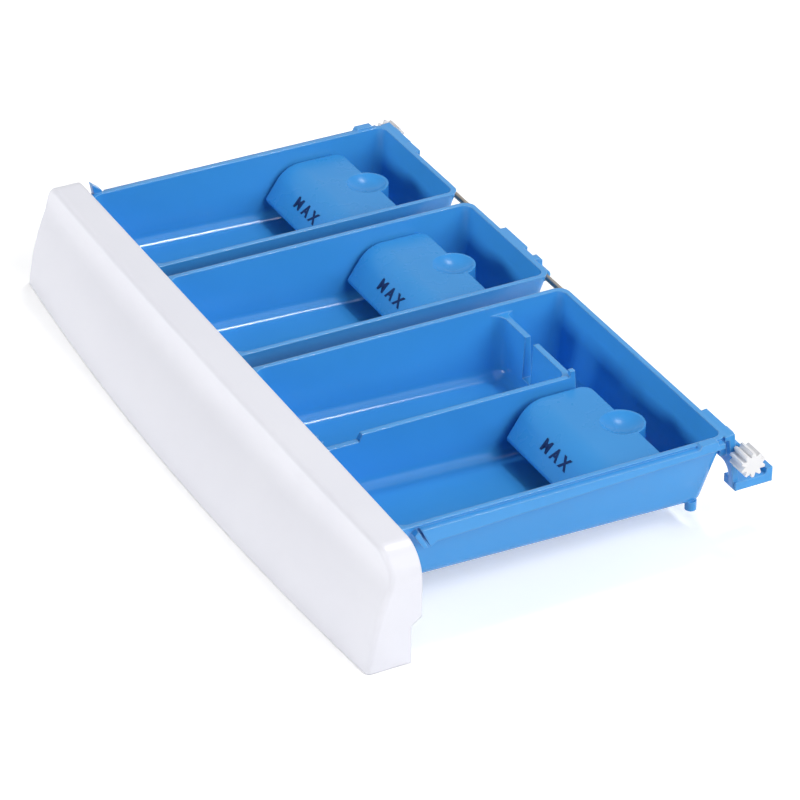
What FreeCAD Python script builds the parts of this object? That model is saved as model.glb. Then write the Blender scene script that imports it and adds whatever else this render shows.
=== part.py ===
import FreeCAD, Part
import math
import os
import Sketcher
from FreeCAD import Placement, Rotation, Vector

# Detergent dispenser drawer: bowed front panel, three hanging trays, three siphon caps
# and a cross shaft with a pinion on each end.
# X runs along the panel, Y runs back into the machine, Z is up, the tray rims lie on Z = 0.

os.makedirs("parts", exist_ok=True)
doc = FreeCAD.newDocument("dispenser_drawer")

# Driving sizes in millimetres, ratios where a slope is meant

DRIVING = {
    "panel_width": 374.0,
    "panel_top": 5.0,
    "panel_drop": 50.5,
    "panel_thick": 14.5,
    "panel_wall": 2.5,
    "panel_corner": 14.0,
    "panel_edge": 2.5,
    "lip_reach": 26.0,
    "bow_top": 2.0,
    "bow_lip": 8.5,
    "bend_start": 3.0,
    "bend_radius": 24.0,
    "flare_radius": 140.0,
    "plate_drop": 28.0,
    "plate_step": 3.5,
    "lower_setback": 5.0,
    "rib_wall": 2.0,
    "rib_pitch": 123.0,
    "rib_drop": 8.0,
    "tongue_width": 12.0,
    "tongue_inset": 15.4,
    "tongue_play": 0.3,
    "tongue_drop": 15.0,
    "tongue_wall": 3.0,
    "barb_rise": 2.0,
    "barb_length": 3.0,
    "wall": 2.4,
    "tray_length": 166.8,
    "front_depth": 32.0,
    "floor_fall": 0.033,
    "side_slope": 0.2,
    "rear_slope": 0.22,
    "inner_slope": 0.05,
    "outer_round": 6.0,
    "inner_round": 6.0,
    "sump_round": 4.5,
    "bay_width": 77.0,
    "left_tray_x": -169.0,
    "middle_tray_x": -77.5,
    "right_tray_x": 16.0,
    "powder_width": 64.3,
    "sump_length": 31.0,
    "weir_wall": 2.4,
    "weir_drop": 12.0,
    "powder_weir_drop": 4.0,
    "powder_slot_x": 25.0,
    "powder_slot_width": 7.5,
    "powder_slot_drop": 26.0,
    "divider_drop": 3.0,
    "divider_step": 3.4,
    "divider_step_y": 23.0,
    "drain_width": 28.0,
    "drain_length": 6.0,
    "drain_back": 10.0,
    "rail_width": 3.0,
    "rail_top": 1.2,
    "rail_start": 11.3,
    "rail_nose": 4.5,
    "rail_nose_drop": 10.4,
    "rail_front_drop": 8.6,
    "rail_rear_drop": 3.8,
    "rail_rear_gap": 4.0,
    "fin_start": 5.4,
    "fin_length": 3.5,
    "fin_lean": 1.6,
    "fin_height": 5.4,
    "fin_drop": 4.5,
    "fin_root": 1.2,
    "tooth_gap": 1.4,
    "tooth_wall": 2.0,
    "nub_length": 11.0,
    "nub_height": 0.9,
    "nub_back": 17.8,
    "shaft_radius": 1.5,
    "shaft_back": 5.8,
    "shaft_drop": 10.5,
    "bearing_play": 0.05,
    "bearing_wall": 1.6,
    "bearing_length": 6.0,
    "bearing_inset": 14.0,
    "flange_wall": 2.4,
    "left_flange_width": 34.0,
    "skirt_width": 24.0,
    "skirt_drop": 17.0,
    "skirt_round": 5.0,
    "bracket_wall": 2.9,
    "bracket_bite": 0.3,
    "bracket_web": 3.6,
    "bracket_lean": 0.13,
    "bracket_drop": 29.4,
    "hook_out": 1.4,
    "hook_width": 9.6,
    "hook_sole": 4.2,
    "hook_toe": 3.2,
    "hook_toe_rise": 3.2,
    "hook_round": 2.0,
    "left_hook_reach": 12.4,
    "right_hook_reach": 19.4,
    "lug_x": 29.0,
    "lug_width": 34.0,
    "lug_reach": 3.0,
    "lug_notch_x": 50.5,
    "lug_notch_width": 9.5,
    "lug_notch": 1.8,
    "peg_radius": 2.7,
    "peg_length": 2.2,
    "peg_inset": 8.5,
    "peg_back": 13.3,
    "pinion_teeth": 10,
    "pinion_tip": 6.3,
    "pinion_root": 4.2,
    "pinion_width": 10.2,
    "pinion_end": 1.5,
    "pinion_gap": 1.2,
    "tooth_base": 2.5,
    "tooth_tip": 1.1,
    "cap_wall": 2.0,
    "cap_gap": 2.6,
    "cap_drop": 6.8,
    "cap_low": 22.5,
    "cap_front": 36.3,
    "cap_lip": 1.5,
    "cap_rise": 1.15,
    "cap_bend": 18.0,
    "cap_back": 7.0,
    "cap_corner": 5.0,
    "cheek_front": 13.0,
    "cheek_rear": 10.0,
    "ledge_width": 4.4,
    "ledge_length": 6.0,
    "ledge_height": 3.0,
    "ledge_front": 25.0,
    "lobe_radius": 11.0,
    "lobe_back": 4.5,
    "lobe_drop": 14.2,
    "dish_radius": 10.0,
    "dish_depth": 3.4,
}

dims = doc.addObject("Spreadsheet::Sheet", "Dims")
for row, (alias, number) in enumerate(DRIVING.items(), start=1):
    dims.set("A%d" % row, alias)
    dims.set("B%d" % row, str(number))
    dims.setAlias("B%d" % row, alias)
doc.recompute()


class Size:
    """A number kept together with the formula that gives it."""

    def __init__(self, number, text):
        self.number = number
        self.text = text

    def __add__(self, other):
        other = size(other)
        return Size(self.number + other.number, "(%s + %s)" % (self.text, other.text))

    def __sub__(self, other):
        other = size(other)
        return Size(self.number - other.number, "(%s - %s)" % (self.text, other.text))

    def __mul__(self, other):
        other = size(other)
        return Size(self.number * other.number, "(%s * %s)" % (self.text, other.text))

    def __truediv__(self, other):
        other = size(other)
        return Size(self.number / other.number, "(%s / %s)" % (self.text, other.text))

    def __radd__(self, other):
        return size(other) + self

    def __rsub__(self, other):
        return size(other) - self

    def __rmul__(self, other):
        return size(other) * self

    def __neg__(self):
        return size(0) - self


def size(number):
    if isinstance(number, Size):
        return number
    return Size(float(number), "(%.6f)" % number)


def root(value):
    return Size(math.sqrt(value.number), "sqrt(%s)" % value.text)


class Sizes:
    """The driving sizes by name."""


s = Sizes()
for alias, number in DRIVING.items():
    setattr(s, alias, Size(float(number), "Dims.%s" % alias))


def bind(thing, field, value):
    thing.setExpression(field, size(value).text)


# Sketches: closed outlines whose corners are tied to formulas

TURN = {
    "XY": Rotation(),
    "XZ": Rotation(Vector(1, 0, 0), 90),
    "YZ": Rotation(Vector(1, 1, 1), 120),
}
AXIS = {"XY": ("z", 1), "XZ": ("y", -1), "YZ": ("x", 1)}


def tie(sketch, kind, geo, end, value):
    index = sketch.addConstraint(Sketcher.Constraint(kind, -1, 1, geo, end, value.number))
    sketch.setExpression("Constraints[%d]" % index, value.text)


def circle_arc(start, stop, radius):
    """The arc from start to stop; a positive radius turns left on the way, a negative one right."""
    chord = stop - start
    reach = math.sqrt(radius ** 2 - (chord.Length / 2) ** 2)
    side = Vector(-chord.y, chord.x, 0).normalize()
    if radius < 0:
        side = -side
        start, stop = stop, start
    middle = (start + stop) / 2 + side * reach
    first = math.atan2(start.y - middle.y, start.x - middle.x)
    last = math.atan2(stop.y - middle.y, stop.x - middle.x)
    return Part.ArcOfCircle(Part.Circle(middle, Vector(0, 0, 1), abs(radius)), first, last)


def draw_outline(sketch, corners, bends=None, tangent=(), loose=()):
    """Sides between the corners. bends gives the side after a corner a radius: outward when
    positive, hollow when negative. Corners in tangent are smooth joints, and those in loose
    find their place from the tangents alone."""
    bends = bends or {}
    points = [(size(a), size(b)) for a, b in corners]
    flat = [Vector(a.number, b.number, 0) for a, b in points]
    ends = []
    for i, start in enumerate(flat):
        stop = flat[(i + 1) % len(flat)]
        if i not in bends:
            sketch.addGeometry(Part.LineSegment(start, stop), False)
            ends.append((1, 2))
            continue
        radius = bends[i].number
        sketch.addGeometry(circle_arc(start, stop, radius), False)
        length = bends[i] if radius > 0 else -bends[i]
        index = sketch.addConstraint(Sketcher.Constraint("Radius", i, length.number))
        sketch.setExpression("Constraints[%d]" % index, length.text)
        ends.append((1, 2) if radius > 0 else (2, 1))
    for i, (first, last) in enumerate(ends):
        follow = (i + 1) % len(ends)
        kind = "Tangent" if follow in tangent else "Coincident"
        sketch.addConstraint(Sketcher.Constraint(kind, i, last, follow, ends[follow][0]))
    for i, (a, b) in enumerate(points):
        if i not in loose:
            tie(sketch, "DistanceX", i, ends[i][0], a)
            tie(sketch, "DistanceY", i, ends[i][0], b)


def turned_round(corners, bends=None):
    """The same outline listed the other way round, for one that has been mirrored."""
    count = len(corners)
    turned = {(count - 2 - i) % count: radius for i, radius in (bends or {}).items()}
    return corners[::-1], turned


def draw_circle(sketch, across, up, radius):
    across, up, radius = size(across), size(up), size(radius)
    middle = Vector(across.number, up.number, 0)
    sketch.addGeometry(Part.Circle(middle, Vector(0, 0, 1), radius.number), False)
    tie(sketch, "DistanceX", 0, 3, across)
    tie(sketch, "DistanceY", 0, 3, up)
    index = sketch.addConstraint(Sketcher.Constraint("Radius", 0, radius.number))
    sketch.setExpression("Constraints[%d]" % index, radius.text)


def body_sketch(body, plane, label, offset=0):
    """A sketch on one of the body's own origin planes, pushed along that plane's normal."""
    sketch = body.newObject("Sketcher::SketchObject", label)
    for feature in body.Origin.OriginFeatures:
        if feature.Role == plane + "_Plane":
            sketch.AttachmentSupport = [(feature, "")]
    sketch.MapMode = "FlatFace"
    offset = size(offset)
    sketch.AttachmentOffset = Placement(Vector(0, 0, offset.number), Rotation())
    bind(sketch, "AttachmentOffset.Base.z", offset)
    return sketch


def free_sketch(label, plane, offset):
    """A sketch that stands by itself, for extruding."""
    sketch = doc.addObject("Sketcher::SketchObject", label)
    sketch.Placement = Placement(Vector(), TURN[plane])
    bind(sketch, "Placement.Base." + AXIS[plane][0], offset)
    return sketch


# Solids

def box(label, x0, x1, y0, y1, z0, z1):
    block = doc.addObject("Part::Box", label)
    for field, low, high in (("Length", x0, x1), ("Width", y0, y1), ("Height", z0, z1)):
        bind(block, field, size(high) - low)
    for field, low in (("x", x0), ("y", y0), ("z", z0)):
        bind(block, "Placement.Base." + field, low)
    return block


def prism(label, plane, corners, start, stop, bends=None):
    """An outline drawn on a plane and extruded between two positions along its normal."""
    sketch = free_sketch(label + "_outline", plane, start)
    draw_outline(sketch, corners, bends)
    solid = doc.addObject("Part::Extrusion", label)
    solid.Base = sketch
    solid.DirMode = "Normal"
    solid.Solid = True
    solid.Reversed = AXIS[plane][1] < 0
    bind(solid, "LengthFwd", size(stop) - start)
    return solid


def rod(label, radius, start, stop, across, up, axis="X"):
    """A cylinder along X at (Y, Z), or along Z at (X, Y)."""
    solid = doc.addObject("Part::Cylinder", label)
    bind(solid, "Radius", radius)
    bind(solid, "Height", size(stop) - start)
    if axis == "X":
        solid.Placement = Placement(Vector(), Rotation(Vector(0, 1, 0), 90))
        fields = (("x", start), ("y", across), ("z", up))
    else:
        fields = (("x", across), ("y", up), ("z", start))
    for field, value in fields:
        bind(solid, "Placement.Base." + field, value)
    return solid


def fuse(label, *shapes):
    joined = doc.addObject("Part::MultiFuse", label)
    joined.Shapes = list(shapes)
    joined.Refine = True
    return joined


def cut(label, base, *tools):
    tool = tools[0] if len(tools) == 1 else fuse(label + "_tools", *tools)
    result = doc.addObject("Part::Cut", label)
    result.Base = base
    result.Tool = tool
    result.Refine = True
    return result


def common(label, one, two):
    result = doc.addObject("Part::MultiCommon", label)
    result.Shapes = [one, two]
    return result


def pick_edges(shape, wanted):
    names = []
    for number, edge in enumerate(shape.Edges, start=1):
        if wanted([vertex.Point for vertex in edge.Vertexes]):
            names.append("Edge%d" % number)
    return names


def round_edges(body, base, wanted, radius):
    doc.recompute()
    rounded = body.newObject("PartDesign::Fillet", body.Name + "_round")
    rounded.Base = (base, pick_edges(base.Shape, wanted))
    rounded.Radius = size(radius).number
    bind(rounded, "Radius", radius)
    body.Tip = rounded
    return rounded


def loft(body, sections, ruled, kind="PartDesign::AdditiveLoft"):
    solid = body.newObject(kind, body.Name + "_loft")
    solid.Profile = sections[0]
    solid.Sections = sections[1:]
    solid.Ruled = ruled
    body.Tip = solid
    return solid


# Front panel: a hollow moulding, bowed outward towards its pull lip, open below

TRIM = 2.0


def bend_end(middle, lip, bend, flare):
    """Where the bend below the top band runs over into the flare that ends at the lip."""
    span = lip - middle
    along = ((bend + flare) ** 2 - flare ** 2 + span.Length ** 2) / (2 * span.Length)
    aside = math.sqrt((bend + flare) ** 2 - along ** 2)
    unit = span / span.Length
    centre = middle + unit * along + Vector(-unit.y, unit.x, 0) * aside
    return middle + (centre - middle) * (bend / (bend + flare))


def panel_section(body, label, x, bow, inset):
    """Side profile of the panel at one station; inset moves it inward for the hollow."""
    front = -s.panel_thick - s.bow_top * bow + inset
    lip = -s.lip_reach - s.bow_lip * bow + inset
    top = s.panel_top - inset + TRIM
    low = -s.panel_drop - TRIM
    bend = s.bend_radius + inset
    flare = s.flare_radius - inset
    joint = bend_end(Vector((front - bend).number, -s.bend_start.number, 0),
                     Vector(lip.number, -s.panel_drop.number, 0), bend.number, flare.number)
    corners = [(-inset, top), (front, top), (front, -s.bend_start), (joint.x, joint.y),
               (lip, -s.panel_drop), (lip, low)]
    if inset.number == 0:
        corners += [(-s.lower_setback, low), (-s.lower_setback, -s.plate_drop - s.plate_step),
                    (0, -s.plate_drop)]
    else:
        corners += [(TRIM, low), (TRIM, -s.plate_drop), (-inset, -s.plate_drop)]
    sketch = body_sketch(body, "YZ", label, x)
    draw_outline(sketch, corners, {2: -bend, 3: flare}, tangent=(2, 3), loose=(3,))
    return sketch


def panel_block(label, inset, low):
    """The bowed loft trimmed to the front view, whose upper corners are round."""
    body = doc.addObject("PartDesign::Body", label + "_bow")
    half = s.panel_width / 2 - inset
    stations = ((half + TRIM, 0), (size(0), 1), (-half - TRIM, 0))
    sections = [panel_section(body, "%s_%d" % (label, i), x, bow, inset)
                for i, (x, bow) in enumerate(stations)]
    loft(body, sections, False)
    high = s.panel_top - inset
    turn = s.panel_corner - inset
    corners = [(-half, low), (half, low), (half, high - turn), (half - turn, high),
               (turn - half, high), (-half, high - turn)]
    reach = s.lip_reach + s.bow_lip
    front = prism(label + "_front", "XZ", corners, -reach - TRIM, size(2 * TRIM),
                  {2: turn, 4: turn})
    return common(label, body, front)


def front_rim(points):
    """The edge that runs round the panel's face, up one end, over the top and down the other."""
    front = all(p.y < -s.lower_setback.number - 1 for p in points)
    level = all(abs(p.z - s.panel_top.number) < 0.01 for p in points)
    foot = all(abs(p.z + s.panel_drop.number) < 0.01 for p in points)
    one_end = abs(points[0].x - points[-1].x) < s.panel_width.number / 2
    return front and not foot and (level or one_end)


panel_bow = panel_block("panel_block", size(0), -s.panel_drop)
panel_soft = doc.addObject("PartDesign::Body", "panel_soft")
panel_soft.BaseFeature = panel_bow
doc.recompute()
round_edges(panel_soft, panel_soft.Tip, front_rim, s.panel_edge)
panel_hollow = panel_block("panel_hollow", s.panel_wall, -s.panel_drop - TRIM)

# Snap tongues: two on each tray, each through its own slot in the panel's back plate

tray_spans = {
    "left": (s.left_tray_x, s.bay_width),
    "middle": (s.middle_tray_x, s.bay_width),
    "right": (s.right_tray_x, s.powder_width + s.wall + s.bay_width),
}
tongue_high = s.tongue_wall - s.tongue_drop
barb_high = tongue_high + s.barb_rise


def tongue_places(name):
    start, width = tray_spans[name]
    return [start + s.tongue_inset, start + width - s.tongue_inset]


slots = []
ribs = []
for name in tray_spans:
    for number, place in enumerate(tongue_places(name), start=1):
        reach = s.tongue_width / 2 + s.tongue_play
        slots.append(box("%s_slot_%d" % (name, number), place - reach, place + reach,
                         -s.panel_wall - TRIM, TRIM, -s.tongue_drop, barb_high + s.tongue_play))
for number, step in enumerate((-1, 0, 1), start=1):
    middle = s.rib_pitch * step
    ribs.append(box("panel_rib_%d" % number, middle - s.rib_wall / 2, middle + s.rib_wall / 2,
                    -s.panel_thick + s.panel_wall / 2, -s.panel_wall / 2,
                    -s.rib_drop, s.panel_top - s.panel_wall / 2))
panel_shell = cut("panel_shell", panel_soft, panel_hollow)
panel_ribbed = fuse("panel_ribbed", panel_shell, *ribs)
front_panel = cut("front_panel", panel_ribbed, *slots)


# Trays: a drafted shell with a falling floor, bays cut into it and its rear fittings

weir_y = s.tray_length - s.wall - s.sump_length - s.weir_wall
shaft_y = s.tray_length + s.shaft_back


def bay(label, x0, x1, y0, y1, lift, slopes, radius, wanted):
    """A drafted block below the rim plane, its long section crossed with its cross section.
    The slopes are left, right, front and rear, and the floor falls towards the rear."""
    left, right, front, rear = slopes

    def depth(y):
        return s.front_depth - lift + s.floor_fall * y

    deep = s.front_depth * 2
    near = (y0 + front * depth(0)) / (1 - front * s.floor_fall)
    far = (y1 - rear * depth(0)) / (1 + rear * s.floor_fall)
    long_section = prism(label + "_long", "YZ", [
        (y0, 0), (near, -depth(near)), (far, -depth(far)), (y1, 0)], x0 - s.wall, x1 + s.wall)
    cross_section = prism(label + "_cross", "XZ", [
        (x0, 0), (x0 + left * deep, -deep), (x1 - right * deep, -deep), (x1, 0)],
        y0 - s.wall, y1 + s.wall)
    body = doc.addObject("PartDesign::Body", label)
    body.BaseFeature = common(label + "_block", long_section, cross_section)
    doc.recompute()
    round_edges(body, body.Tip, wanted, radius)
    return body


def below_rim(points):
    return not all(abs(p.z) < 0.001 for p in points)


def below_rim_behind_front(points):
    return below_rim(points) and not all(abs(p.y) < 0.001 for p in points)


def rear_bearing(label, x0):
    """An eye for the shaft on a short web behind the rear wall."""
    x1 = x0 + s.bearing_length
    eye = rod(label + "_eye", s.shaft_radius + s.bearing_wall, x0, x1, shaft_y, -s.shaft_drop)
    web = box(label + "_web", x0, x1, s.tray_length - s.wall, shaft_y - s.shaft_radius,
              -s.shaft_drop - s.shaft_radius, -s.flange_wall / 2)
    return [eye, web]


def bracket(label, outer, inward, flange_width, reach):
    """The hook that runs under a rack: a flange on the tray, a leaning skirt that narrows to a
    web, and a foot with an upturned toe. inward is the way from the outer face to the tray."""
    front = s.tray_length - s.bracket_bite
    low, top = -s.bracket_drop, size(0)

    def across(offset):
        return outer + size(offset) * inward

    def span(first, last):
        return (across(first), across(last)) if inward > 0 else (across(last), across(first))

    turn = s.skirt_round
    corners = [(across(0), low), (across(s.bracket_web), low),
               (across(s.bracket_web), -s.skirt_drop - turn),
               (across(s.bracket_web + turn), -s.skirt_drop),
               (across(s.skirt_width), -s.skirt_drop), (across(s.skirt_width), top), (across(0), top)]
    bends = {2: -turn}
    if inward < 0:
        corners, bends = turned_round(corners, bends)
    skirt = prism(label + "_skirt", "XZ", corners, front, front + s.bracket_wall, bends)
    lean = Rotation(Vector(1, 0, 0), 90 + math.degrees(math.atan(s.bracket_lean.number)))
    skirt.Base.Placement = Placement(skirt.Base.Placement.Base, lean)
    skirt.Base.setExpression("Placement.Rotation.Angle", "90 deg + atan(%s)" % s.bracket_lean.text)
    heel = front + s.bracket_lean * s.bracket_drop
    sole = low + s.hook_sole
    end = heel + reach
    hook = prism(label + "_hook", "YZ", [
        (heel, low), (end, low), (end, sole + s.hook_toe_rise),
        (end - s.hook_toe, sole + s.hook_toe_rise), (end - s.hook_toe, sole + s.hook_round),
        (end - s.hook_toe - s.hook_round, sole), (heel, sole),
    ], *span(-s.hook_out, s.hook_width - s.hook_out), {4: -s.hook_round})
    flange = box(label + "_flange", *span(0, flange_width), s.tray_length - s.wall,
                 front + s.bracket_wall, top - s.flange_wall, top)
    return [skirt, hook, flange]


def tongues(name):
    """Flat springs with a barb that drops in behind the panel's back plate."""
    made = []
    catch = -s.panel_wall - s.tongue_play
    for number, place in enumerate(tongue_places(name), start=1):
        corners = [(s.wall / 2, -s.tongue_drop), (s.wall / 2, tongue_high), (catch, tongue_high),
                   (catch, barb_high), (catch - s.barb_length, tongue_high - s.barb_rise / 2),
                   (catch - s.barb_length, -s.tongue_drop)]
        made.append(prism("%s_tongue_%d" % (name, number), "YZ", corners,
                          place - s.tongue_width / 2, place + s.tongue_width / 2))
    return made


def rail(label, inner, outer):
    """Guide rail along an outer wall: deeper in front, with a slanted front end."""
    rear = s.tray_length - s.rail_rear_gap
    nose = s.rail_start + s.rail_nose
    corners = [(s.rail_start, -s.rail_top), (nose, -s.rail_nose_drop),
               (nose + s.rail_width, -s.rail_front_drop), (rear, -s.rail_rear_drop),
               (rear, -s.rail_top)]
    return prism(label, "YZ", corners, inner, outer)


def front_fin(label, inner, outer):
    """Pointed guide fin close behind the panel, leaning forward."""
    first = s.fin_start
    last = first + s.fin_length
    corners = [(first, -s.fin_drop), (last, -s.fin_drop), (last, s.fin_root),
               (first - s.fin_lean, s.fin_height)]
    return prism(label, "YZ", corners, inner, outer)


def rail_tooth(label, inner, outer):
    """Narrow tooth in front of a rail, parallel to its slanted end."""
    rear = s.rail_start - s.tooth_gap
    corners = [(rear + s.rail_nose - s.tooth_wall, -s.rail_nose_drop),
               (rear + s.rail_nose, -s.rail_nose_drop), (rear, -s.rail_top),
               (rear - s.tooth_wall, -s.rail_top - s.tooth_wall)]
    return prism(label, "YZ", corners, inner, outer)


def rear_nub(label, inner, outer):
    """Low stop on top of a rail, near its rear end."""
    first = s.tray_length - s.nub_back
    last = first + s.nub_length
    corners = [(first, -s.rail_top - 1), (last, -s.rail_top - 1), (last - s.nub_height, s.nub_height),
               (first + s.nub_height * 2, s.nub_height)]
    return prism(label, "YZ", corners, inner, outer)


def peg(label, x):
    """Short foot under a rear corner."""
    y = s.tray_length - s.peg_back
    floor = -s.front_depth - s.floor_fall * y
    return rod(label, s.peg_radius, floor - s.peg_length, floor + s.wall, x, y, "Z")


def tray(name, bays, weirs, extras):
    start, width = tray_spans[name]
    outer = bay(name + "_outer", start - s.wall, start + width + s.wall, size(0), s.tray_length,
                size(0), (s.side_slope, s.side_slope, size(0), s.rear_slope), s.outer_round,
                below_rim_behind_front)
    blank = fuse(name + "_blank", outer, *tongues(name), *extras["added"])
    sump_front = weir_y + s.weir_wall
    sump = bay(name + "_sump", start, start + width, sump_front, s.tray_length - s.wall, s.wall,
               (s.side_slope, s.side_slope, s.inner_slope, s.rear_slope), s.sump_round, below_rim)
    middle = start + width / 2
    drain = box(name + "_drain", middle - s.drain_width / 2, middle + s.drain_width / 2,
                sump_front + s.drain_back, sump_front + s.drain_back + s.drain_length,
                -s.front_depth * 2, -s.front_depth / 2)
    return cut(name + "_tray", blank, sump, drain, *bays, *weirs, *extras["removed"])


def weir_gap(label, x0, x1, left, right, drop):
    """The opening above a weir, as wide as the bay at each height."""
    corners = [(x0, 0), (x0 + left * drop, -drop), (x1 - right * drop, -drop), (x1, 0)]
    return prism(label, "XZ", corners, weir_y - s.inner_round * 1.4,
                 weir_y + s.weir_wall + s.sump_round * 1.4)


def cap_ledges(label, x0, x1, left, right):
    """Two small ledges under the front of a siphon cap, rooted in the walls beside it."""
    level = -s.cap_low
    y0 = weir_y - s.ledge_front
    y1 = y0 + s.ledge_length
    root_in = s.wall / 2
    reach = s.side_slope * s.cap_low + s.ledge_width
    return [
        box(label + "_ledge_l", x0 + left * s.cap_low - root_in, x0 + reach,
            y0, y1, level - s.ledge_height, level),
        box(label + "_ledge_r", x1 - reach, x1 - right * s.cap_low + root_in,
            y0, y1, level - s.ledge_height, level),
    ]


slopes = (s.side_slope, s.side_slope, s.inner_slope, s.inner_slope)
left_x, middle_x, right_x = s.left_tray_x, s.middle_tray_x, s.right_tray_x
left_edge = left_x - s.wall
right_end = right_x + s.powder_width + s.wall + s.bay_width
right_edge = right_end + s.wall
liquid_x = right_end - s.bay_width
bore = s.shaft_radius + s.bearing_play


def shaft_bore(label, x0, x1):
    return rod(label, bore, x0, x1, shaft_y, -s.shaft_drop)


left_added = bracket("left_bracket", left_edge, 1, s.left_flange_width, s.left_hook_reach)
left_added += rear_bearing("left_bearing", left_edge + s.bracket_web)
left_added += [
    rail("left_rail", left_edge - s.rail_width, left_x - s.wall / 4),
    front_fin("left_fin", left_edge - s.rail_width, left_edge + s.fin_root),
    rear_nub("left_nub", left_edge - s.rail_width, left_edge + s.fin_root),
    peg("left_peg", left_edge + s.peg_inset),
]
left_tray = tray(
    "left",
    [bay("left_bay", left_x, left_x + s.bay_width, s.wall, weir_y, s.wall, slopes,
         s.inner_round, below_rim)],
    [weir_gap("left_gap", left_x, left_x + s.bay_width, s.side_slope, s.side_slope, s.weir_drop)],
    {"added": left_added,
     "removed": [shaft_bore("left_bore", left_edge - s.hook_width, left_edge + s.skirt_width * 2)]},
)
left_tray = fuse("left_tray_ledged", left_tray,
                 *cap_ledges("left", left_x, left_x + s.bay_width, s.side_slope, s.side_slope))

middle_end = middle_x + s.bay_width
bearing_x = middle_end - s.bearing_inset
lug_y = s.tray_length + s.lug_reach
notch_x = middle_x + s.lug_notch_x
lug_x = middle_x + s.lug_x
middle_added = rear_bearing("middle_bearing", bearing_x - s.bearing_length)
middle_added += [
    prism("middle_lug", "XY", [
        (lug_x, s.tray_length - s.wall), (lug_x + s.lug_width, s.tray_length - s.wall),
        (lug_x + s.lug_width, lug_y), (notch_x + s.lug_notch_width, lug_y),
        (notch_x + s.lug_notch_width, lug_y - s.lug_notch), (notch_x, lug_y - s.lug_notch),
        (notch_x, lug_y), (lug_x, lug_y),
    ], -s.flange_wall, size(0)),
]
middle_tray = tray(
    "middle",
    [bay("middle_bay", middle_x, middle_end, s.wall, weir_y, s.wall, slopes,
         s.inner_round, below_rim)],
    [weir_gap("middle_gap", middle_x, middle_end, s.side_slope, s.side_slope, s.weir_drop)],
    {"added": middle_added,
     "removed": [shaft_bore("middle_bore", middle_x, middle_end + s.bearing_length)]},
)
middle_tray = fuse("middle_tray_ledged", middle_tray,
                   *cap_ledges("middle", middle_x, middle_end, s.side_slope, s.side_slope))

right_added = bracket("right_bracket", right_edge, -1, s.skirt_width, s.right_hook_reach)
right_added += rear_bearing("right_bearing", right_edge - s.bracket_web - s.bearing_length)
right_added += [
    rail("right_rail", right_end + s.wall / 4, right_edge + s.rail_width),
    rail_tooth("right_tooth", right_end, right_edge + s.rail_width),
    rear_nub("right_nub", right_edge - s.fin_root, right_edge + s.rail_width),
    peg("right_peg", right_edge - s.peg_inset),
]
powder_end = right_x + s.powder_width
powder_slopes = (s.side_slope, s.inner_slope, s.inner_slope, s.inner_slope)
liquid_slopes = (s.inner_slope, s.side_slope, s.inner_slope, s.inner_slope)
divider_low = -s.divider_drop - s.divider_step
right_tray = tray(
    "right",
    [bay("powder_bay", right_x, powder_end, s.wall, weir_y, s.wall, powder_slopes,
         s.inner_round, below_rim),
     bay("liquid_bay", liquid_x, right_end, s.wall, weir_y, s.wall, liquid_slopes,
         s.inner_round, below_rim)],
    [weir_gap("powder_gap", right_x, powder_end, s.side_slope, size(0), s.powder_weir_drop),
     weir_gap("liquid_gap", liquid_x, right_end, s.inner_slope, s.side_slope, s.weir_drop)],
    {"added": right_added,
     "removed": [
         shaft_bore("right_bore", right_edge - s.skirt_width * 2, right_edge + s.hook_width),
         prism("divider_top", "YZ", [
             (s.wall, divider_low), (s.divider_step_y, divider_low),
             (s.divider_step_y + s.divider_step / 2, -s.divider_drop), (weir_y, -s.divider_drop),
             (weir_y, s.wall), (s.wall, s.wall),
         ], powder_end - s.wall / 2, liquid_x + s.wall / 2),
         box("powder_slot", right_x + s.powder_slot_x,
             right_x + s.powder_slot_x + s.powder_slot_width, weir_y - s.weir_wall,
             weir_y + s.weir_wall * 2, -s.powder_slot_drop, s.wall),
     ]},
)
right_tray = fuse("right_tray_ledged", right_tray,
                  *cap_ledges("liquid", liquid_x, right_end, s.inner_slope, s.side_slope))


# Siphon caps: a hood over each weir with a sloping front, drafted cheeks, a lobe and a thumb dish

def hood(label, wall):
    """Hood block between drafted cheeks; wall moves every face inward."""
    half = s.bay_width / 2 - s.cap_gap - wall
    top = -s.cap_drop - wall
    front = weir_y - s.cap_front
    steep = root(s.cap_rise * s.cap_rise + 1)
    shift = wall * steep / s.cap_rise
    lip = s.cap_lip - s.cap_low
    lip_in = lip + s.cap_rise * (wall - shift)
    crest = front + (top - lip) / s.cap_rise + shift
    bend = s.cap_bend - wall
    reach = bend * (steep - 1) / s.cap_rise
    back = weir_y + s.cap_back - wall
    slope_end = (crest - reach / steep, top - reach * s.cap_rise / steep)
    if wall.number == 0:
        foot = [(front, -s.cap_low), (weir_y - s.cheek_front, -s.cap_low),
                (weir_y - s.cheek_rear, -s.weir_drop), (back, -s.weir_drop)]
    else:
        foot = [(front + wall, -s.cap_low * 2), (back, -s.cap_low * 2)]
    side = foot + [(back, top), (crest + reach, top), slope_end, (front + wall, lip_in)]
    width = s.bay_width / 2
    profile = prism(label + "_profile", "YZ", side, -width, width, {len(foot) + 1: bend})
    deep = s.cap_low * 2
    across = [(-half, 0), (s.side_slope * deep - half, -deep), (half - s.side_slope * deep, -deep),
              (half, 0)]
    cheeks = prism(label + "_cheeks", "XZ", across, front - s.cap_wall, back + s.cap_wall)
    return common(label, profile, cheeks)


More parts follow.
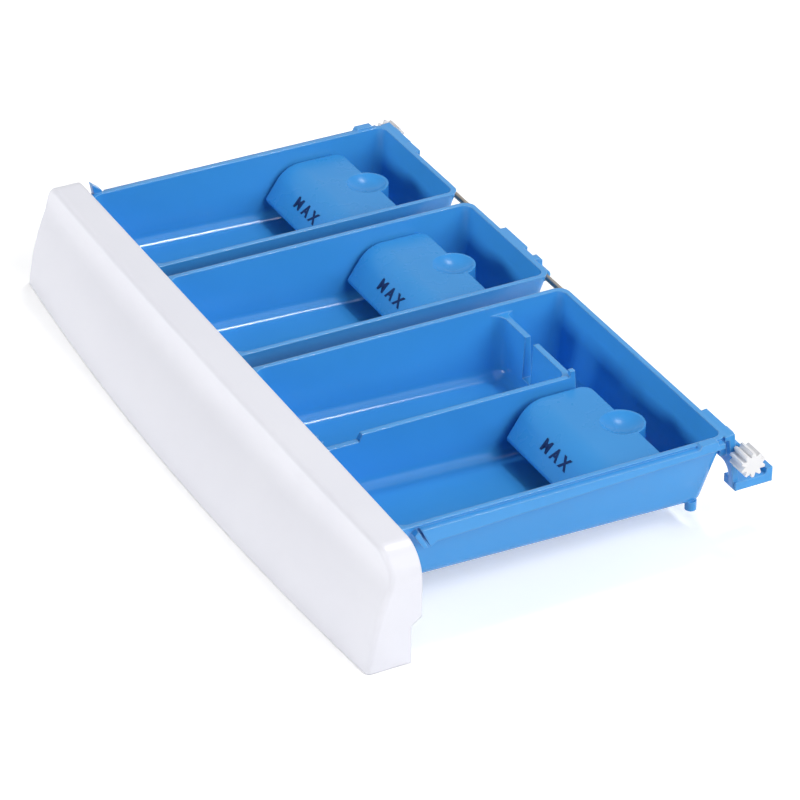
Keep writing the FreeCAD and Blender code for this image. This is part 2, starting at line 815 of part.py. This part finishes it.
def plan_trim(label):
    """Plan view of a cap, with its two rear corners rounded."""
    half = s.bay_width / 2 - s.cap_gap - s.side_slope * s.cap_drop
    front = weir_y - s.cap_front - s.cap_wall
    back = weir_y + s.cap_back
    turn = s.cap_corner
    corners = [(-half, front), (half, front), (half, back - turn), (half - turn, back),
               (turn - half, back), (-half, back - turn)]
    return prism(label, "XY", corners, -s.cap_low * 2, size(0), {2: turn, 4: turn})


def siphon_cap(name, middle):
    y = weir_y + s.lobe_back
    top = -s.cap_drop
    block = common(name + "_hood", hood(name + "_hood_outside", size(0)), plan_trim(name + "_plan"))
    shell = cut(name + "_hood_shell", block, hood(name + "_hood_inside", s.cap_wall))
    disc = rod(name + "_disc", s.lobe_radius, -s.weir_drop, top, 0, y, "Z")
    drum = rod(name + "_drum", s.lobe_radius, top - s.lobe_drop, top, 0, y, "Z")
    rear = box(name + "_drum_rear", -s.lobe_radius * 2, s.lobe_radius * 2,
               weir_y + s.cap_back - s.cap_wall, y + s.lobe_radius * 2, top - s.lobe_drop, top)
    lobe = common(name + "_lobe", drum, rear)
    bore_out = rod(name + "_lobe_bore", s.lobe_radius - s.cap_wall, top - s.lobe_drop * 2,
                   -s.weir_drop, 0, y, "Z")
    ball = (s.dish_radius * s.dish_radius + s.dish_depth * s.dish_depth) / (s.dish_depth * 2)
    dish = doc.addObject("Part::Sphere", name + "_dish")
    bind(dish, "Radius", ball)
    bind(dish, "Placement.Base.y", y)
    bind(dish, "Placement.Base.z", top - s.dish_depth + ball)
    whole = fuse(name + "_whole", shell, disc, lobe)
    cap = cut(name + "_siphon_cap", whole, bore_out, dish)
    bind(cap, "Placement.Base.x", middle)
    return cap


caps = {
    "left": siphon_cap("left", left_x + s.bay_width / 2),
    "middle": siphon_cap("middle", middle_x + s.bay_width / 2),
    "right": siphon_cap("right", liquid_x + s.bay_width / 2),
}

# Cross shaft and the two pinions pressed on its ends

right_pinion_x = right_edge + s.pinion_gap
left_pinion_x = left_edge - s.pinion_gap
socket = s.pinion_width - s.pinion_end
cross_shaft = rod("cross_shaft", s.shaft_radius, left_pinion_x - socket, right_pinion_x + socket,
                  shaft_y, -s.shaft_drop)


def pinion(label, x, turn):
    """Root disc, one tooth, the tooth repeated round the axis and a blind socket for the shaft."""
    body = doc.addObject("PartDesign::Body", label)
    body.Placement = Placement(Vector(), Rotation(Vector(0, 0, 1), turn))
    ring = body_sketch(body, "YZ", label + "_ring")
    draw_circle(ring, 0, 0, s.pinion_root)
    core = body.newObject("PartDesign::Pad", label + "_core")
    core.Profile = ring
    bind(core, "Length", s.pinion_width)
    tooth_sketch = body_sketch(body, "YZ", label + "_tooth_outline")
    base, tip = s.tooth_base / 2, s.tooth_tip / 2
    inside = s.pinion_root - base / 2
    draw_outline(tooth_sketch, [(-base, inside), (base, inside), (base, s.pinion_root),
                                (tip, s.pinion_tip), (-tip, s.pinion_tip), (-base, s.pinion_root)])
    tooth = body.newObject("PartDesign::Pad", label + "_tooth")
    tooth.Profile = tooth_sketch
    bind(tooth, "Length", s.pinion_width)
    doc.recompute()
    ring_of_teeth = body.newObject("PartDesign::PolarPattern", label + "_teeth")
    ring_of_teeth.Originals = [tooth]
    for feature in body.Origin.OriginFeatures:
        if feature.Role == "X_Axis":
            ring_of_teeth.Axis = (feature, [""])
    ring_of_teeth.Angle = 360
    bind(ring_of_teeth, "Occurrences", s.pinion_teeth)
    body.Tip = ring_of_teeth
    doc.recompute()
    hole_sketch = body_sketch(body, "YZ", label + "_hole_outline")
    draw_circle(hole_sketch, 0, 0, s.shaft_radius)
    hole = body.newObject("PartDesign::Pocket", label + "_hole")
    hole.Profile = hole_sketch
    bind(hole, "Length", socket)
    hole.Reversed = True
    body.Tip = hole
    for field, value in (("x", x), ("y", shaft_y), ("z", -s.shaft_drop)):
        bind(body, "Placement.Base." + field, value)
    return body


right_pinion = pinion("right_pinion_body", right_pinion_x, 0)
left_pinion = pinion("left_pinion_body", left_pinion_x, 180)

# Names, checks and files

doc.recompute()
nodes = {
    "front_panel": front_panel,
    "left_tray": left_tray,
    "middle_tray": middle_tray,
    "right_tray": right_tray,
    "left_siphon_cap": caps["left"],
    "middle_siphon_cap": caps["middle"],
    "right_siphon_cap": caps["right"],
    "cross_shaft": cross_shaft,
    "left_pinion": left_pinion,
    "right_pinion": right_pinion,
}
for thing in doc.Objects:
    if "Invalid" in thing.State or "Error" in thing.State:
        raise RuntimeError("%s did not build: %s" % (thing.Label, thing.State))
for label, thing in nodes.items():
    shape = thing.Shape
    if shape.isNull() or not shape.isValid() or len(shape.Solids) != 1:
        raise RuntimeError("%s is not one sound solid" % label)
for label, thing in nodes.items():
    for other in doc.Objects:
        if other is not thing and other.Label == label:
            other.Label = label + "_stock"
    thing.Label = label
    thing.Shape.exportStep("parts/%s.step" % label)
    print(label, round(thing.Shape.Volume), len(thing.Shape.Faces))
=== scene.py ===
import math

import bpy
from mathutils import Matrix, Vector


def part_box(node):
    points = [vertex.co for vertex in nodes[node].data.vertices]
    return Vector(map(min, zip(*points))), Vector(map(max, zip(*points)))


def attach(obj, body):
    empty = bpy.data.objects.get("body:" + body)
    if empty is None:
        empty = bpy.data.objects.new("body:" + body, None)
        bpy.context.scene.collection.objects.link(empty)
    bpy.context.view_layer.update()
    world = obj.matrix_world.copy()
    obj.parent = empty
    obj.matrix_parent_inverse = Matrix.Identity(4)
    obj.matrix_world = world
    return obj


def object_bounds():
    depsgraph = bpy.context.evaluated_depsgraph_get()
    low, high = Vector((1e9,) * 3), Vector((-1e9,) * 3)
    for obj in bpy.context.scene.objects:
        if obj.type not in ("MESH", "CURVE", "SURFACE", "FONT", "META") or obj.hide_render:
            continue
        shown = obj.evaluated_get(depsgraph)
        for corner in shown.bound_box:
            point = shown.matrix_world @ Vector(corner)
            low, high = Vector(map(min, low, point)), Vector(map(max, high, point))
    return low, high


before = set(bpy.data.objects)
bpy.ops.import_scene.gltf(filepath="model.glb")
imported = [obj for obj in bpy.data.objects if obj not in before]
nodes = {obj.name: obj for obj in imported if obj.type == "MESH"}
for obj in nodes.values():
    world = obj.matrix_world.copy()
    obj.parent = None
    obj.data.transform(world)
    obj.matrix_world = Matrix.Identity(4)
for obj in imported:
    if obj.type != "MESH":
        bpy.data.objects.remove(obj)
cad_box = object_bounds()
scene = bpy.context.scene
scene.view_settings.view_transform = "Standard"


# Materials

CLOUD_SCALE = 18.0
PATCH_SCALE = 55.0
GRAIN_SCALE = 2600.0
GRAIN_DEPTH = 0.0002
GLOSS_BELOW, GLOSS_ABOVE = 0.05, 0.06
EDGE_SAMPLES = 6
# Painted highlight: the share of paler edge colour, and the normal turns between which it is
# mixed in.
EDGE_HIGHLIGHT_SHARE = 0.8
EDGE_SHARP, EDGE_FLAT = 0.72, 0.99
STREAK_SCALE = 900.0
STREAK_STRETCH = (0.05, 1, 1)


def new_material(name):
    material = bpy.data.materials.new(name)
    material.use_nodes = True
    tree = material.node_tree
    return material, tree, tree.nodes["Principled BSDF"]


def mix_colour(tree, factor, low, high):
    """Blend of two colours; low is a colour or another node's output."""
    mix = tree.nodes.new("ShaderNodeMix")
    mix.data_type = "RGBA"
    if isinstance(low, bpy.types.NodeSocket):
        tree.links.new(low, mix.inputs["A"])
    else:
        mix.inputs["A"].default_value = (*low, 1)
    mix.inputs["B"].default_value = (*high, 1)
    tree.links.new(factor, mix.inputs["Factor"])
    return mix.outputs["Result"]


def noise(tree, where, scale, detail):
    texture = tree.nodes.new("ShaderNodeTexNoise")
    texture.inputs["Scale"].default_value = scale
    texture.inputs["Detail"].default_value = detail
    texture.inputs["Roughness"].default_value = 0.55
    tree.links.new(where, texture.inputs["Vector"])
    return texture.outputs["Fac"]


def ramp(tree, factor, low, high, start=0.3, stop=0.7):
    remap = tree.nodes.new("ShaderNodeMapRange")
    remap.inputs["From Min"].default_value = start
    remap.inputs["From Max"].default_value = stop
    remap.inputs["To Min"].default_value = low
    remap.inputs["To Max"].default_value = high
    tree.links.new(factor, remap.inputs["Value"])
    return remap.outputs["Result"]


def edge_highlight_share(tree, softened):
    """Share of painted edge highlight, from how far the softened normal leaves the true one."""
    turn = tree.nodes.new("ShaderNodeVectorMath")
    turn.operation = "DOT_PRODUCT"
    tree.links.new(softened, turn.inputs[0])
    true_normal = tree.nodes.new("ShaderNodeNewGeometry").outputs["Normal"]
    tree.links.new(true_normal, turn.inputs[1])
    return ramp(tree, turn.outputs["Value"], EDGE_HIGHLIGHT_SHARE, 0, EDGE_SHARP, EDGE_FLAT)


def moulded(name, low, high, edge_highlight_paint, rough, grain, soft_edge, specular=0.5):
    """Injection moulded plastic: cloudy tint, paler edges as a painted highlight, uneven gloss
    and fine grain.
    """
    material, tree, shader = new_material(name)
    where = tree.nodes.new("ShaderNodeTexCoord").outputs["Object"]

    edge = tree.nodes.new("ShaderNodeBevel")
    edge.samples = EDGE_SAMPLES
    edge.inputs["Radius"].default_value = soft_edge
    softened = edge.outputs["Normal"]

    cloud = noise(tree, where, CLOUD_SCALE, 4.0)
    body = mix_colour(tree, ramp(tree, cloud, 0, 1), low, high)
    # Painted highlight: edges, both convex and concave, are mixed towards a paler colour to
    # stand in for light catching the rims.
    tint = mix_colour(tree, edge_highlight_share(tree, softened), body, edge_highlight_paint)
    tree.links.new(tint, shader.inputs["Base Color"])

    patch = noise(tree, where, PATCH_SCALE, 3.0)
    gloss = ramp(tree, patch, rough - GLOSS_BELOW, rough + GLOSS_ABOVE)
    tree.links.new(gloss, shader.inputs["Roughness"])
    shader.inputs["Specular IOR Level"].default_value = specular

    bump = tree.nodes.new("ShaderNodeBump")
    bump.inputs["Strength"].default_value = grain
    bump.inputs["Distance"].default_value = GRAIN_DEPTH
    tree.links.new(noise(tree, where, GRAIN_SCALE, 2.0), bump.inputs["Height"])
    tree.links.new(softened, bump.inputs["Normal"])
    tree.links.new(bump.outputs["Normal"], shader.inputs["Normal"])
    return material


def drawn_steel(name, low, high):
    """Drawn rod: fine streaks along the length."""
    material, tree, shader = new_material(name)
    shader.inputs["Metallic"].default_value = 1.0
    where = tree.nodes.new("ShaderNodeTexCoord").outputs["Object"]
    stretch = tree.nodes.new("ShaderNodeMapping")
    stretch.inputs["Scale"].default_value = STREAK_STRETCH
    tree.links.new(where, stretch.inputs["Vector"])
    streak = noise(tree, stretch.outputs["Vector"], STREAK_SCALE, 5.0)
    tint = mix_colour(tree, ramp(tree, streak, 0, 1), low, high)
    tree.links.new(tint, shader.inputs["Base Color"])
    tree.links.new(ramp(tree, streak, 0.28, 0.5), shader.inputs["Roughness"])
    return material


# The edge colour of each finish below is a painted highlight, mixed in along the part's edges.
panel_white = moulded(
    "panel_white", low=(0.79, 0.795, 0.865), high=(0.82, 0.825, 0.89),
    edge_highlight_paint=(0.84, 0.845, 0.90), rough=0.34, grain=0.04, soft_edge=0.0012)
tray_blue = moulded(
    "tray_blue", low=(0.047, 0.305, 0.715), high=(0.053, 0.326, 0.755),
    edge_highlight_paint=(0.200, 0.530, 0.930), rough=0.15, grain=0.03, soft_edge=0.0010, specular=0.42)
cap_blue = moulded(
    "cap_blue", low=(0.036, 0.268, 0.650), high=(0.042, 0.288, 0.690),
    edge_highlight_paint=(0.080, 0.350, 0.770), rough=0.28, grain=0.05, soft_edge=0.0008, specular=0.22)
pinion_white = moulded(
    "pinion_white", low=(0.78, 0.78, 0.80), high=(0.82, 0.82, 0.83),
    edge_highlight_paint=(0.84, 0.84, 0.85), rough=0.45, grain=0.06, soft_edge=0.0003)
mark_ink = moulded(
    "mark_ink", low=(0.007, 0.028, 0.110), high=(0.010, 0.036, 0.135),
    edge_highlight_paint=(0.010, 0.036, 0.135), rough=0.55, grain=0.05, soft_edge=0.0001, specular=0.10)
shaft_steel = drawn_steel("shaft_steel", low=(0.25, 0.22, 0.19), high=(0.42, 0.39, 0.36))

finish = {
    "front_panel": panel_white,
    "left_tray": tray_blue,
    "middle_tray": tray_blue,
    "right_tray": tray_blue,
    "left_siphon_cap": cap_blue,
    "middle_siphon_cap": cap_blue,
    "right_siphon_cap": cap_blue,
    "cross_shaft": shaft_steel,
    "left_pinion": pinion_white,
    "right_pinion": pinion_white,
}
for node, material in finish.items():
    mesh = nodes[node].data
    mesh.materials.clear()
    mesh.materials.append(material)


# Fill marks on the sloping front of each siphon cap

LETTER_SIZE = 0.0080
LETTER_SPACING = 1.62
LETTER_BOLDNESS = 0.00030
LETTER_HALF_THICKNESS = 0.00012
SLOPE_FOOT = Vector((0, 0.0947, -0.0210))
SLOPE_UP = Vector((0, 1.0, 1.15)).normalized()
MARK_UP_SLOPE = 0.0096
MARK_TO_RIGHT = 0.0010
MARK_LIFT = 0.00006


def fill_mark(name, cap):
    curve = bpy.data.curves.new(name + "_text", "FONT")
    curve.body = "MAX"
    curve.align_x = "CENTER"
    curve.align_y = "CENTER"
    curve.size = LETTER_SIZE
    curve.space_character = LETTER_SPACING
    curve.offset = LETTER_BOLDNESS
    curve.extrude = LETTER_HALF_THICKNESS
    text = bpy.data.objects.new(name + "_text", curve)
    scene.collection.objects.link(text)

    low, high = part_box(cap)
    middle = (low.x + high.x) / 2
    across = Vector((1, 0, 0))
    out = across.cross(SLOPE_UP)
    place = (Vector((middle + MARK_TO_RIGHT, 0, 0)) + SLOPE_FOOT
             + SLOPE_UP * MARK_UP_SLOPE + out * MARK_LIFT)
    turned = Matrix((across, SLOPE_UP, out)).transposed().to_4x4()
    text.matrix_world = Matrix.Translation(place) @ turned
    bpy.context.view_layer.update()

    depsgraph = bpy.context.evaluated_depsgraph_get()
    letters = bpy.data.meshes.new_from_object(text.evaluated_get(depsgraph))
    mark = bpy.data.objects.new(name, letters)
    mark.matrix_world = text.matrix_world.copy()
    scene.collection.objects.link(mark)
    bpy.data.curves.remove(curve)
    letters.materials.clear()
    letters.materials.append(mark_ink)
    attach(mark, "drawer")


for side in ("left", "middle", "right"):
    fill_mark(side + "_fill_mark", side + "_siphon_cap")


# Floor and surround

FLOOR_HALF_SIDE = 6.0
FLOOR_GAP = 0.0002
FLOOR_GLOW = 0.36
SKY_LIGHT = 0.11
SKY_WHITE = 1.0


def seen(tree, hidden, shown):
    """Strength that camera, mirror and glass rays see as shown, and all other rays as hidden."""
    path = tree.nodes.new("ShaderNodeLightPath").outputs
    total = path["Is Camera Ray"]
    for kind in ("Is Glossy Ray", "Is Transmission Ray"):
        both = tree.nodes.new("ShaderNodeMath")
        both.operation = "ADD"
        tree.links.new(total, both.inputs[0])
        tree.links.new(path[kind], both.inputs[1])
        total = both.outputs[0]
    return ramp(tree, total, hidden, shown, 0, 1)


def pale_floor(name):
    """Matte floor that reads as white and still takes the shadow."""
    material, tree, shader = new_material(name)
    shader.inputs["Base Color"].default_value = (0.97, 0.97, 0.97, 1)
    shader.inputs["Roughness"].default_value = 0.9
    shader.inputs["Specular IOR Level"].default_value = 0.1
    shader.inputs["Emission Color"].default_value = (1, 1, 1, 1)
    tree.links.new(seen(tree, 0, FLOOR_GLOW), shader.inputs["Emission Strength"])
    return material


floor_mesh = bpy.data.meshes.new("floor")
level = cad_box[0][2] - FLOOR_GAP
corners = [(x * FLOOR_HALF_SIDE, y * FLOOR_HALF_SIDE, level)
           for x, y in ((-1, -1), (1, -1), (1, 1), (-1, 1))]
floor_mesh.from_pydata(corners, [], [(0, 1, 2, 3)])
floor_mesh.materials.append(pale_floor("floor_pale"))
floor = bpy.data.objects.new("floor", floor_mesh)
scene.collection.objects.link(floor)

world = bpy.data.worlds.new("studio")
scene.world = world
world.use_nodes = True
sky = world.node_tree.nodes["Background"]
sky.inputs["Color"].default_value = (1.0, 1.0, 1.0, 1)
world.node_tree.links.new(seen(world.node_tree, SKY_LIGHT, SKY_WHITE), sky.inputs["Strength"])


# Lamps: a large key that isn't mirrored, a front fill, and a small one for the bright edge lines

def area(name, place, aim, width, height, power, mirrored=True):
    lamp = bpy.data.lights.new(name, "AREA")
    lamp.shape = "RECTANGLE"
    lamp.size = width
    lamp.size_y = height
    lamp.energy = power
    stand = bpy.data.objects.new(name, lamp)
    stand.location = place
    stand.rotation_euler = (Vector(aim) - Vector(place)).to_track_quat("-Z", "Y").to_euler()
    stand.visible_glossy = mirrored
    scene.collection.objects.link(stand)


area("key", (1.66, 0.99, 1.31), (0.0, 0.07, 0.0), 1.9, 1.9, 47.0, mirrored=False)
area("front", (-0.20, -2.30, 0.75), (0.0, 0.0, 0.0), 1.8, 0.8, 36.0)
area("back", (-0.48, 0.85, 1.97), (0.0, 0.07, 0.0), 0.46, 0.20, 15.0)


# Camera, fitted to the photograph; the focal length and the shifts are in its pixels

PHOTO_SIDE = 800
FOCAL = 3700.17
SHIFT_X = 28.55
SHIFT_Y = -76.79
DISTANCE = 1.7210
AZIMUTH = math.radians(62.93)
ELEVATION = math.radians(30.78)
TARGET = Vector((0.003, 0.070, 0.0))

lens = bpy.data.cameras.new("camera")
lens.sensor_width = 36.0
lens.lens = FOCAL / PHOTO_SIDE * lens.sensor_width
lens.shift_x = SHIFT_X / PHOTO_SIDE
lens.shift_y = SHIFT_Y / PHOTO_SIDE
lens.clip_end = 20.0
ahead = Vector((-math.sin(AZIMUTH) * math.cos(ELEVATION),
                math.cos(AZIMUTH) * math.cos(ELEVATION),
                -math.sin(ELEVATION)))
camera = bpy.data.objects.new("camera", lens)
camera.location = TARGET - ahead * DISTANCE
camera.rotation_euler = ahead.to_track_quat("-Z", "Y").to_euler()
scene.collection.objects.link(camera)
scene.camera = camera
